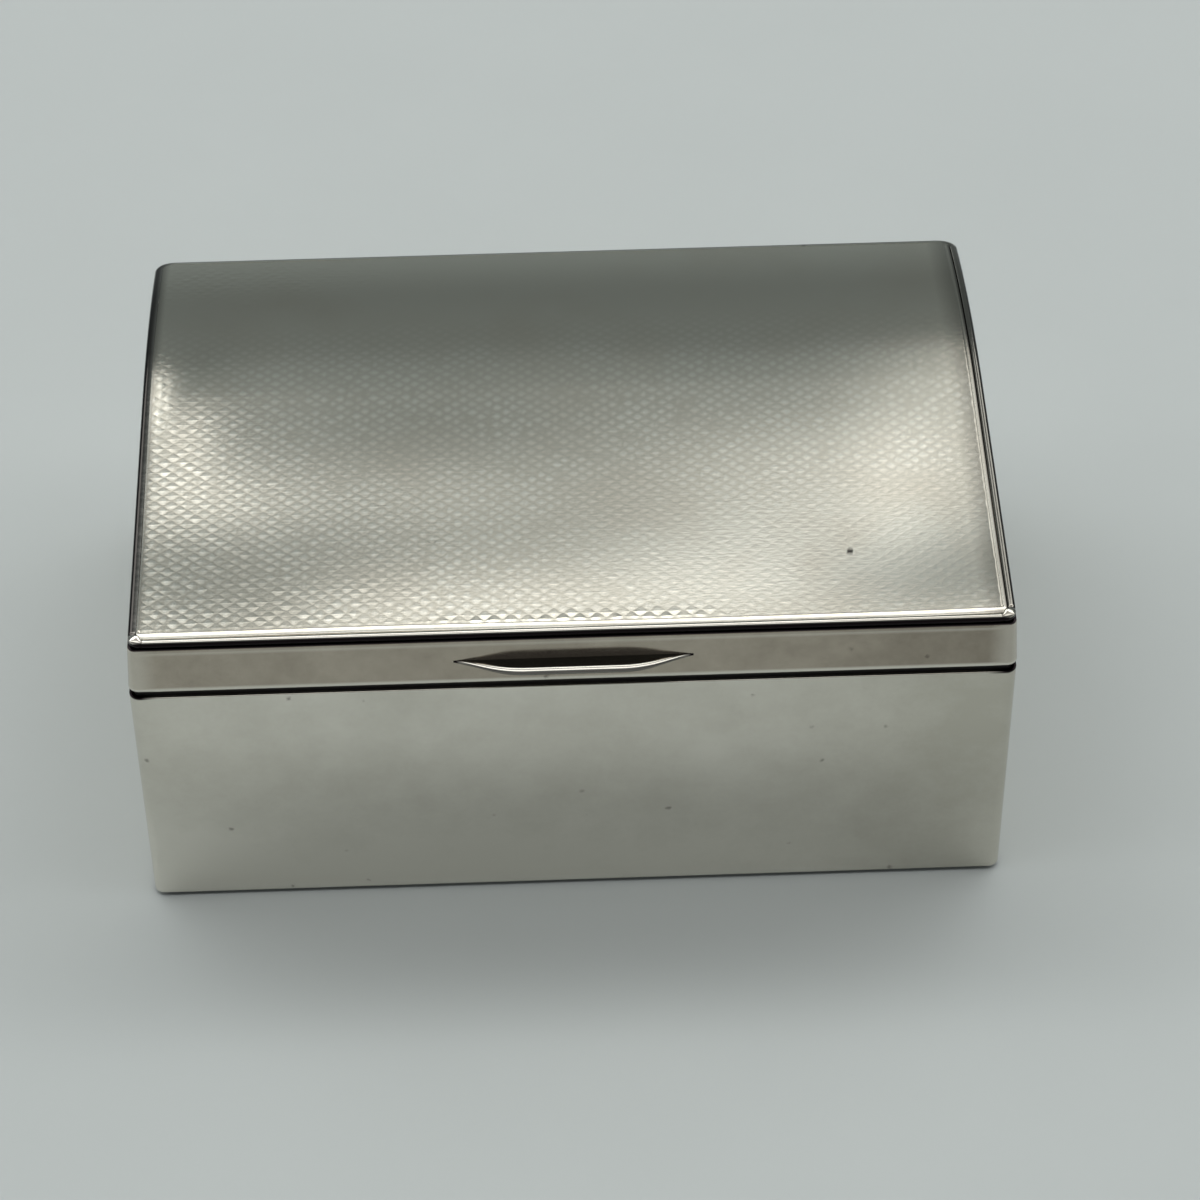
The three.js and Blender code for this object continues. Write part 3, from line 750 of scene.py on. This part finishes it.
# %% [markdown]
# ## The lid plate
#
# In front and on the right the turned field stops at an incised line, and a plain border rolls off from
# there to the plate's edge. At the back and on the left it runs out level with the bead. The field comes
# from the tree. A modifier runs it: sizes are set by the identifier of each socket, the result is read
# off the evaluated object as a plain mesh, and the carrier is thrown away. Rings of points are then drawn
# round the field, for the line, the border, the eased edge and the sheet's thickness, and long strips
# close the underside.

# %% Turned field
def run_tree(tree, start=None, **sizes):
    """The mesh that a Geometry Nodes tree makes from these sizes, and from a mesh to start with."""
    carrier = put("carrier", start or bpy.data.meshes.new("carrier"))
    modifier = carrier.modifiers.new("nodes", "NODES")
    modifier.node_group = tree
    for item in tree.interface.items_tree:
        key = item.name.replace(" ", "_").lower()
        if item.in_out == "INPUT" and key in sizes:
            modifier[item.identifier] = sizes[key]
    graph = bpy.context.evaluated_depsgraph_get()
    mesh = bpy.data.meshes.new_from_object(carrier.evaluated_get(graph))
    bpy.data.objects.remove(carrier)
    return mesh


PLATE_HALF_WIDTH = SEAT_HALF_WIDTH - BEAD_INSET - 2 * BEAD_RADIUS - SEAM
PLATE_HALF_DEPTH = SEAT_HALF_DEPTH - BEAD_INSET - 2 * BEAD_RADIUS - SEAM
BORDER_LEFT, BORDER_RIGHT, BORDER_FRONT, BORDER_BACK = 0.3, 0.6, 1.2, 0.4
CELL = 2.68
ROW_PITCH = 1.03
WAVE = 0.46
CUT_DEPTH = 0.02
WEAR = 1.0
WORN_SPOT, WORN_REACH = 26, 88
WAVER = 0.32

field_low = np.array([-PLATE_HALF_WIDTH + BORDER_LEFT, -PLATE_HALF_DEPTH + BORDER_FRONT])
field_high = np.array([PLATE_HALF_WIDTH - BORDER_RIGHT, PLATE_HALF_DEPTH - BORDER_BACK])
field_middle = (field_low + field_high) / 2
field_width, field_depth = (float(side) for side in field_high - field_low)
plate_mesh = run_tree(
    ENGINE_TURNING, field_width=field_width * MM, field_depth=field_depth * MM,
    cells=round(field_width / CELL), rows=round(field_depth / ROW_PITCH), steps=8,
    wave=WAVE, cut_depth=CUT_DEPTH * MM, wear_scale=1 / (WEAR * MM),
    worn_spot=WORN_SPOT * MM, worn_reach=WORN_REACH * MM, waver=WAVER * MM, finish=TURNED_SILVER)
field_points = len(plate_mesh.vertices)
print("field:", round(field_width, 2), "x", round(field_depth, 2), "mm,", len(plate_mesh.polygons), "faces")

# %% Border, edge and underside
LINE = ((0.05, -0.11), (0.13, -0.01))
BORDER_SECTION = (
    (0.05, 0), (0.3, -0.03), (0.55, -0.075), (0.75, -0.115),
    (0.88, -0.15), (0.96, -0.19), (1, -0.24), (1, -SHEET))
ROLL_BY_SIDE = (0, 0.3, 1, 0)
LINE_BY_SIDE = (0, 0.6, 1, 0)
ON_EDGE = 0.9999


def plate_rings(spots):
    """Rings of points round the field: the incised line, then the border to the plate's edge."""
    half = (field_high - field_low) / 2
    from_middle = spots - field_middle
    edge = from_middle / half * (PLATE_HALF_WIDTH, PLATE_HALF_DEPTH)
    along, across = (from_middle / half).T
    roll, line = [
        np.where(across < -ON_EDGE, front, np.where(across > ON_EDGE, back, np.where(along > 0, right, left)))
        for left, right, front, back in (ROLL_BY_SIDE, LINE_BY_SIDE)]
    low = -CUT_DEPTH * (1 - line)
    for out, level in LINE:
        beside = field_middle + from_middle * (1 + out / half)
        yield beside, level * line + low
    for share, level in BORDER_SECTION:
        on_top = level > -SHEET
        yield beside + (edge - beside) * share, level * roll + low if on_top else np.full(len(spots), level)


def sides_of(mesh):
    """The boundary points of a rectangular net: its front, right, back and left side, in turn."""
    spots = np.array([vertex.co for vertex in mesh.vertices])
    (left, front), (right, back) = spots[:, :2].min(0), spots[:, :2].max(0)
    near = 1e-6
    sides = []
    for on_side, order in (
            (spots[:, 1] < front + near, spots[:, 0]), (spots[:, 0] > right - near, spots[:, 1]),
            (spots[:, 1] > back - near, -spots[:, 0]), (spots[:, 0] < left + near, -spots[:, 1])):
        chosen = np.flatnonzero(on_side)
        sides.append([int(i) for i in chosen[np.argsort(order[chosen])]])
    return sides


def close_plate(mesh):
    """Adds the incised line, the border, the eased edge, the side and the underside to the field."""
    sides = sides_of(mesh)
    mesh.transform(Matrix.Translation((*(field_middle * MM), 0)))
    net = bmesh.new()
    net.from_mesh(mesh)
    net.verts.ensure_lookup_table()
    last = [net.verts[i] for side in sides for i in side[:-1]]
    for spots, levels in plate_rings(np.array([vertex.co.xy for vertex in last]) / MM):
        ring = [net.verts.new((x * MM, y * MM, z * MM)) for (x, y), z in zip(spots, levels)]
        for i, vertex in enumerate(last):
            after = (i + 1) % len(last)
            net.faces.new((last[after], vertex, ring[i], ring[after]))
        last = ring
    ends = np.cumsum([0] + [len(side) - 1 for side in sides])
    front, right, back, left = [last[a:b] for a, b in zip(ends[:-1], ends[1:])]
    right_side, left_side = right + back[:1], front[:1] + left[::-1]
    net.faces.new(front + right_side[:2] + left_side[1:2])
    for i in range(1, len(right_side) - 2):
        net.faces.new((left_side[i], right_side[i], right_side[i + 1], left_side[i + 1]))
    net.faces.new([left_side[-2], right_side[-2]] + back + left[:1])
    bmesh.ops.recalc_face_normals(net, faces=net.faces)
    net.to_mesh(mesh)
    net.free()


close_plate(plate_mesh)
print("plate:", len(plate_mesh.polygons), "faces")

# %% [markdown]
# ## Arch and dents
#
# Last, every point is lifted over the arch. Thin sheet that was pressed, engraved and handled for so
# long isn't true any more: a few soft hollows and swellings, less than half a millimetre deep, make the
# light break up into patches on it. Each is a bell-shaped dent with a place, two radii and a height.
# The plate is painted darker along its two ends, a painted shade for the dark room they reflect, and there is
# one deep pit.

# %% Lift the plate
DENTS = (
    (-58.7, -26.7, 17.5, 14, -0.41), (59, -27.6, 16, 26, -0.41), (-27.4, -35, 41, 12.6, 0.2),
    (-24, -8.5, 23.4, 16.4, 0.32), (-62, 8, 7.3, 13.4, 0.5), (19, -53, 38, 23, -0.42),
    (37, 2, 29, 21, 0.47), (70.5, -43.5, 22, 9.5, 0.31))
# painted shade along the plate's two ends, for the dark room they reflect
PLATE_SHADE_LEFT = ((0, 1.2), (0.5, 0))
PLATE_SHADE_RIGHT = ((0, 0.12, 0.33, 0.43, 0.5, 0.56, 4), (0.85, 0.75, 0.5, 0.2, 0.2, 0.45, 0))
PIT, PIT_RADIUS = (44.4, -31.7), 0.6
BORDER_STAIN = 0.48

spots = np.array([vertex.co for vertex in plate_mesh.vertices]) / MM
to_left, to_right = spots[:, 0] + PLATE_HALF_WIDTH, PLATE_HALF_WIDTH - spots[:, 0]
painted_shade = np.maximum(np.interp(to_left, *PLATE_SHADE_LEFT), np.interp(to_right, *PLATE_SHADE_RIGHT))
# the one deep pit is real; it is set black in the same marks
painted_shade[np.hypot(*(spots[:, :2] - PIT).T) < PIT_RADIUS] = 1
plate_mesh.attributes.new("recess", "FLOAT", "POINT").data.foreach_set("value", painted_shade.astype(np.float32))
cuts = np.empty(len(plate_mesh.vertices), np.float32)
plate_mesh.attributes["cut"].data.foreach_get("value", cuts)
cuts[field_points:] = BORDER_STAIN
plate_mesh.attributes["cut"].data.foreach_set("value", cuts)
spots[:, 2] += PLATE_LEVEL + arch_lift(spots[:, 1])
for x, y, along, across, height in DENTS:
    spots[:, 2] += height * np.exp(-((spots[:, 0] - x) / along) ** 2 - ((spots[:, 1] - y) / across) ** 2)
plate_mesh.vertices.foreach_set("co", (spots * MM).ravel())
add_piece("lid_plate", plate_mesh, TURNED_SILVER, "lid", "turned_silver", "lid_top")

ends = np.empty(2 * len(plate_mesh.edges), np.int32)
plate_mesh.edges.foreach_get("vertices", ends)
ends = ends.reshape(-1, 2)
rows = np.empty(len(plate_mesh.vertices), np.float32)
plate_mesh.attributes["row"].data.foreach_get("value", rows)
along_row = (rows[ends[:, 0]] == rows[ends[:, 1]]) & (ends.max(1) < field_points)
plate_mesh.edges.foreach_set("use_edge_sharp", along_row)
plate_mesh.attributes.remove(plate_mesh.attributes["row"])
print("crisp edges:", int(along_row.sum()))

# %% [markdown]
# ## The thumbpiece
#
# A long, low lip soldered to the front of the lid, for a thumb to lift. In plan its front edge is
# straight, and its shoulders sweep back to points on the wall. Its nose is rolled over from above and
# undercut below, so that one bright line runs from tip to tip. It is drawn as a row of sections across
# the lip, each one as deep as the plan is there. Its top, the corner with the wall, the underside of the
# nose and the two tips are painted dark, a painted shade for the shade and dark reflections they hold.

# %% Thumbpiece
THUMB_HALF = 18.8
THUMB_FRONT_HALF = 10.3
THUMB_BEND = 0.32
THUMB_REACH = 2.9
THUMB_TOP = 52.45
THUMB_THICKNESS = 1.0
THUMB_WALL = -BOX_DEPTH / 2 + 0.02
TIP_REACH, TIP_SHARE = 0.03, 0.4
NOSE, NOSE_SHARE, NOSE_FALL = 1.0, 0.6, 0.62
UNDERCUT, UNDERCUT_SHARE = 0.35, 0.3


def thumb_section(x):
    """Section of the lip at a distance x from the middle, from the wall over the nose and back."""
    share = (THUMB_HALF - abs(x)) / (THUMB_HALF - THUMB_FRONT_HALF)
    bend = max(0, 1 - abs(share - 1) / THUMB_BEND)
    sweep = min(1, share) - THUMB_BEND * bend ** 2 / 4
    reach = max(THUMB_REACH * sweep, TIP_REACH)
    thick = THUMB_THICKNESS * (TIP_SHARE + (1 - TIP_SHARE) * sweep)
    nose, under = min(NOSE, NOSE_SHARE * reach), min(UNDERCUT, UNDERCUT_SHARE * reach)
    fall = NOSE_FALL * thick
    section = [(0, 0), (-0.3 * (reach - nose), 0), (-0.8 * (reach - nose), 0)]
    for step in range(9):
        angle = step * math.pi / 16
        section.append((-(reach - nose) - nose * math.sin(angle), -fall * (1 - math.cos(angle))))
    for step in range(1, 5):
        angle = step * math.pi / 8
        section.append((-(reach - under) - under * math.cos(angle), -fall - (thick - fall) * math.sin(angle)))
    section.append((0, -thick))
    return [(x, THUMB_WALL + lean(THUMB_TOP + z) + y, THUMB_TOP + z) for y, z in section]


shoulder = THUMB_FRONT_HALF + (THUMB_HALF - THUMB_FRONT_HALF) * np.linspace(0, 1, 19)
across = [*(-shoulder[::-1]), *np.linspace(-THUMB_FRONT_HALF, THUMB_FRONT_HALF, 26)[1:-1], *shoulder]
thumb_points = [point for x in across for point in thumb_section(x)]
ring = len(thumb_section(0))
thumb_faces = [
    (i * ring + j, i * ring + (j + 1) % ring, (i + 1) * ring + (j + 1) % ring, (i + 1) * ring + j)
    for i in range(len(across) - 1) for j in range(ring)]
thumb_faces += [tuple(range(ring))[::-1], tuple(range((len(across) - 1) * ring, len(across) * ring))]
# painted shade on the lip: at its tips, on its top and under its nose
THUMB_SHADE_TIPS = ((THUMB_HALF - 1.2, THUMB_HALF - 0.6), (0, 1))
THUMB_SHADE_TOP, TOP_DEPTH = 0.85, 0.03
THUMB_SHADE_NOSE, UNDER_NOSE = 0.75, range(9, 16)
thumb_shade = [
    max(float(np.interp(abs(x), *THUMB_SHADE_TIPS)),
        THUMB_SHADE_TOP if z > THUMB_TOP - TOP_DEPTH else THUMB_SHADE_NOSE if i % ring in UNDER_NOSE else 0)
    for i, (x, y, z) in enumerate(thumb_points)]
thumb_mesh = mesh_from("thumb_lip", thumb_points, thumb_faces, recess=thumb_shade)
add_piece("thumb_lip", thumb_mesh, POLISHED_SILVER, "lid", "silver", "thumbpiece")

# %% [markdown]
# ## The hinge
#
# Seven short tubes in a row, four soldered to the body and three to the lid, turn on one wire. Each is
# the same tube at an even pitch, so a small tree draws one, with its ends eased, and lays it out along
# a line. It is run once for each body.

# %% Hinge tubes
def hinge_tree():
    """The tree that lays out a row of tubes."""
    tree, node, size = new_tree("hinge_tubes", {
        "Float": ("Radius", "Bore", "Length", "Ease", "Pitch"), "Int": ("Count",),
        "Vector": ("First",), "Material": ("Finish",)})
    thickness, both = [
        node("Math", (size["Radius"], size["Bore"]), operation=operation)
        for operation in ("SUBTRACT", "ADD")]
    wall = node("GeometryNodeCurvePrimitiveQuadrilateral", {"Width": thickness, "Height": size["Length"]})
    eased = node("GeometryNodeFilletCurve", {"Curve": wall, "Radius": size["Ease"], "Count": 3}, mode="POLY")
    middle = node("Math", (both, 0.5), operation="MULTIPLY")
    circle = node("GeometryNodeCurvePrimitiveCircle", {"Radius": middle, "Resolution": 40})
    tube = node("GeometryNodeCurveToMesh", {"Curve": circle, "Profile Curve": eased})
    laid = node("GeometryNodeTransform", {"Geometry": tube, "Rotation": (0.0, math.pi / 2, 0.0)})
    step = node("CombineXYZ", {"X": size["Pitch"]})
    line = node("GeometryNodeMeshLine", {
        "Count": size["Count"], "Start Location": size["First"], "Offset": step})
    row = node("GeometryNodeInstanceOnPoints", {"Points": line, "Instance": laid})
    return close_tree(tree, row, size["Finish"])


TUBES = 7
TUBE_PITCH = (BOX_WIDTH - 2) / TUBES
TUBE_RADIUS, TUBE_BORE, TUBE_EASE = 1.6, 0.75, 0.12
TUBE_LENGTH = TUBE_PITCH - 0.1
HINGE_TREE = hinge_tree()
for body, first in (("body", 0), ("lid", 1)):
    nodes = sorted(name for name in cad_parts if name.startswith(body + "_knuckle"))
    start = (-(TUBES - 1) / 2 + first) * TUBE_PITCH
    tubes = run_tree(
        HINGE_TREE, radius=TUBE_RADIUS * MM, bore=TUBE_BORE * MM, length=TUBE_LENGTH * MM,
        ease=TUBE_EASE * MM, pitch=2 * TUBE_PITCH * MM, count=len(nodes),
        first=(start * MM, HINGE_Y * MM, HINGE_Z * MM), finish=POLISHED_SILVER)
    add_piece(body + "_hinge_tubes", tubes, POLISHED_SILVER, body, "silver", *nodes)

# %% [markdown]
# ## Boards, bearers and pin
#
# The boards of the lining, the base, the strips that carry the hinge and the pin are plain in shape.
# Each is a copy of its solid with the sharp edges taken off, as a plane or a file would.

# %% Eased pieces
MERGE_DISTANCE = 1e-7
FLAT_ANGLE, HARD_ANGLE = math.radians(1), math.radians(40)


def eased_copy(node, ease):
    """A copy of a solid's mesh with its hard edges eased."""
    net = bmesh.new()
    net.from_mesh(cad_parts[node].data)
    bmesh.ops.remove_doubles(net, verts=net.verts, dist=MERGE_DISTANCE)
    bmesh.ops.dissolve_limit(net, angle_limit=FLAT_ANGLE, verts=net.verts, edges=net.edges)
    hard = [edge for edge in net.edges if edge.is_manifold and edge.calc_face_angle() > HARD_ANGLE]
    bmesh.ops.bevel(
        net, geom=hard, offset=ease * MM, offset_type="OFFSET", segments=3, profile=0.5,
        affect="EDGES", clamp_overlap=True)
    mesh = bpy.data.meshes.new(node)
    net.to_mesh(mesh)
    net.free()
    return mesh


for ease, material, body, slot, *nodes in (
        (0.2, CEDAR_ALONG, "body", "cedar", "lining_floor"),
        (0.3, CEDAR_ALONG, "body", "cedar", "lining_front", "lining_back"),
        (0.3, CEDAR_ACROSS, "body", "cedar", "lining_left", "lining_right"),
        (0.4, CEDAR_ALONG, "lid", "cedar", "lid_lining"), (0.35, HARDWOOD, "body", "hardwood", "base_board"),
        (0.15, POLISHED_SILVER, "body", "silver", "body_bearer"),
        (0.15, POLISHED_SILVER, "lid", "silver", "lid_bearer"),
        (0.15, POLISHED_SILVER, "body", "silver", "hinge_pin")):
    for node in nodes:
        add_piece("eased_" + node, eased_copy(node, ease), material, body, slot, node)

# %% [markdown]
# ## Screws
#
# Four slotted brass screws hold the base. They are driven by hand, so no two slots point the same way.
# One eased screw is set on the points of a small grid by a tree, each with a random turn.

# %% Screws
def screw_tree():
    """The tree that sets a screw on each corner of a rectangle."""
    tree, node, size = new_tree("screws", {
        "Geometry": ("Screw",), "Float": ("Spread x", "Spread y"), "Material": ("Finish",)})
    corners = node("GeometryNodeMeshGrid", {
        "Size X": size["Spread x"], "Size Y": size["Spread y"], "Vertices X": 2, "Vertices Y": 2})
    turn = node("FunctionNodeRandomValue", {"Min": 0.0, "Max": math.pi, "Seed": 7}, data_type="FLOAT")
    turned = node("CombineXYZ", {"Z": turn})
    placed = node("GeometryNodeInstanceOnPoints", {
        "Points": corners, "Instance": size["Screw"], "Rotation": turned})
    return close_tree(tree, placed, size["Finish"])


SCREW_EASE = 0.06
screw_nodes = sorted(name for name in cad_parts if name.startswith("base_screw"))
middles = np.array([sum(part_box(node), Vector()) / 2 for node in screw_nodes])
one_screw = eased_copy(screw_nodes[0], SCREW_EASE)
one_screw.transform(Matrix.Translation((-middles[0][0], -middles[0][1], 0)))
spread = np.ptp(middles, axis=0)
screws = run_tree(screw_tree(), one_screw, spread_x=float(spread[0]), spread_y=float(spread[1]), finish=BRASS)
add_piece("base_screws", screws, BRASS, "body", "brass", *screw_nodes)

# %% [markdown]
# ## Floor, light and camera
#
# A plain pale floor. The room's light comes from two soft rows of lamps, one high behind the box and
# one over it, and the rest of the room is dim, so that the arch of the lid shows as a shading from
# bright to grey. Two pale screens stand behind, left and right, for the edges of the lid to reflect.
# The camera stands where the photographer stood.

# %% Floor
floor_finish, node, place = new_material("pale_paper")
fibre = node("TexNoise", {"Vector": place, "Scale": 1 / (40 * MM), "Detail": 3.0})
tone = node("Mix", {"Factor": fibre, "A": linear("#b9bfbd"), "B": linear("#bdc3c1")}, data_type="RGBA")
paper = node("BsdfPrincipled", {"Base Color": tone, "Roughness": 0.9})
node("OutputMaterial", {"Surface": paper})

FLOOR_HALF, FLOOR_DROP = 6000, 0.02
floor_corners = [
    (x * FLOOR_HALF, y * FLOOR_HALF, -FLOOR_DROP) for x, y in ((-1, -1), (1, -1), (1, 1), (-1, 1))]
floor_mesh = mesh_from("floor", floor_corners, [(0, 1, 2, 3)])
floor_mesh.materials.append(floor_finish)
put("floor", floor_mesh)
print("floor:", 2 * FLOOR_HALF / 1000, "m square")

# %% [markdown]
# The room is a ramp of brightness from the horizon behind the box, over the top, to the horizon in
# front. Each pair is an angle in degrees and a level, and the dim parts are a little blue.

# %% Room light
DIM, DIM_TINT = 0.3, (0.92, 1.05, 1.07)
ROOM_LEVELS = (
    (0, 0.26), (12, 0.24), (22, 0.16), (32, 0.18), (38, 0.165), (43, 0.26), (47, 0.21), (53, 0.29), (57, 1.4),
    (61, 4.3), (67, 3.2), (73, 1.4), (79, 0.4), (86, 0.45), (93, 1.3), (100, 1.9), (107, 1.4), (113, 0.3),
    (120, 0.1), (132, 0.12), (145, 0.3), (160, 0.4), (180, 0.3))
BRIGHTEST = max(level for angle, level in ROOM_LEVELS)

world = bpy.data.worlds.new("room")
bpy.context.scene.world = world
world.use_nodes = True
world.node_tree.nodes.clear()
node = partial(add, world.node_tree)
heading = node("SeparateXYZ", (node("TexCoord").outputs["Generated"],))
turn = node("Math", (heading.outputs["Z"], heading.outputs["Y"]), operation="ARCTAN2")
share = node("Math", (turn, math.pi), operation="DIVIDE")
ramp = node("ValToRGB", {"Fac": share})
while len(ramp.color_ramp.elements) < len(ROOM_LEVELS):
    ramp.color_ramp.elements.new(0.5)
for element, (angle, level) in zip(ramp.color_ramp.elements, ROOM_LEVELS):
    element.position = angle / 180
    element.color = [level / BRIGHTEST * part for part in (DIM_TINT if level < DIM else (1, 1, 1))] + [1]
glow = node("Background", {"Color": ramp, "Strength": BRIGHTEST})
node("OutputWorld", {"Surface": glow})
print("room light in", len(ROOM_LEVELS), "steps from the back to the front")

# %% Screens
SCREEN_TURN = math.radians(52)
SCREEN_DISTANCE = 1.3
SCREEN_WIDTH, SCREEN_HEIGHT = 0.7, 0.5
SCREEN_LEVEL = 1.34
SCREEN_Y, SCREEN_Z = SCREEN_DISTANCE * math.cos(SCREEN_TURN), SCREEN_DISTANCE * math.sin(SCREEN_TURN)
SCREEN_EDGES = (("screen_left", -0.279, -1), ("screen_right", 0.248, 1))

for name, edge, way in SCREEN_EDGES:
    middle = edge + way * SCREEN_WIDTH / 2
    screen = bpy.data.lights.new(name, "AREA")
    screen.shape = "RECTANGLE"
    screen.size, screen.size_y = SCREEN_WIDTH, SCREEN_HEIGHT
    screen.energy = SCREEN_LEVEL * math.pi * SCREEN_WIDTH * SCREEN_HEIGHT
    put(name, screen).matrix_world = (
        Matrix.Translation((middle, SCREEN_Y, SCREEN_Z)) @ Matrix.Rotation(SCREEN_TURN - math.pi / 2, 4, "X"))
    print(name, round(screen.energy, 2), "W")

# %% Camera
FRAME_PIXELS = 1200
FOCAL_PIXELS = 3783
SENSOR = 36
CAMERA_PLACE = (-7.34, -467.47, 469.04)
LOOK_DOWN, LOOK_ASIDE, ROLL = (math.radians(a) for a in (43.92, -1.58, -0.67))

camera_data = bpy.data.cameras.new("camera")
camera_data.sensor_width = SENSOR
camera_data.lens = FOCAL_PIXELS * SENSOR / FRAME_PIXELS
camera_data.clip_start, camera_data.clip_end = 0.01, 50
camera = put("camera", camera_data)
camera.matrix_world = (
    Matrix.Translation(Vector(CAMERA_PLACE) * MM) @ Matrix.Rotation(LOOK_ASIDE, 4, "Z")
    @ Matrix.Rotation(math.pi / 2 - LOOK_DOWN, 4, "X") @ Matrix.Rotation(ROLL, 4, "Z"))
bpy.context.scene.camera = camera
bpy.context.scene.view_settings.view_transform = "Standard"
print("lens", round(camera_data.lens, 1), "mm")
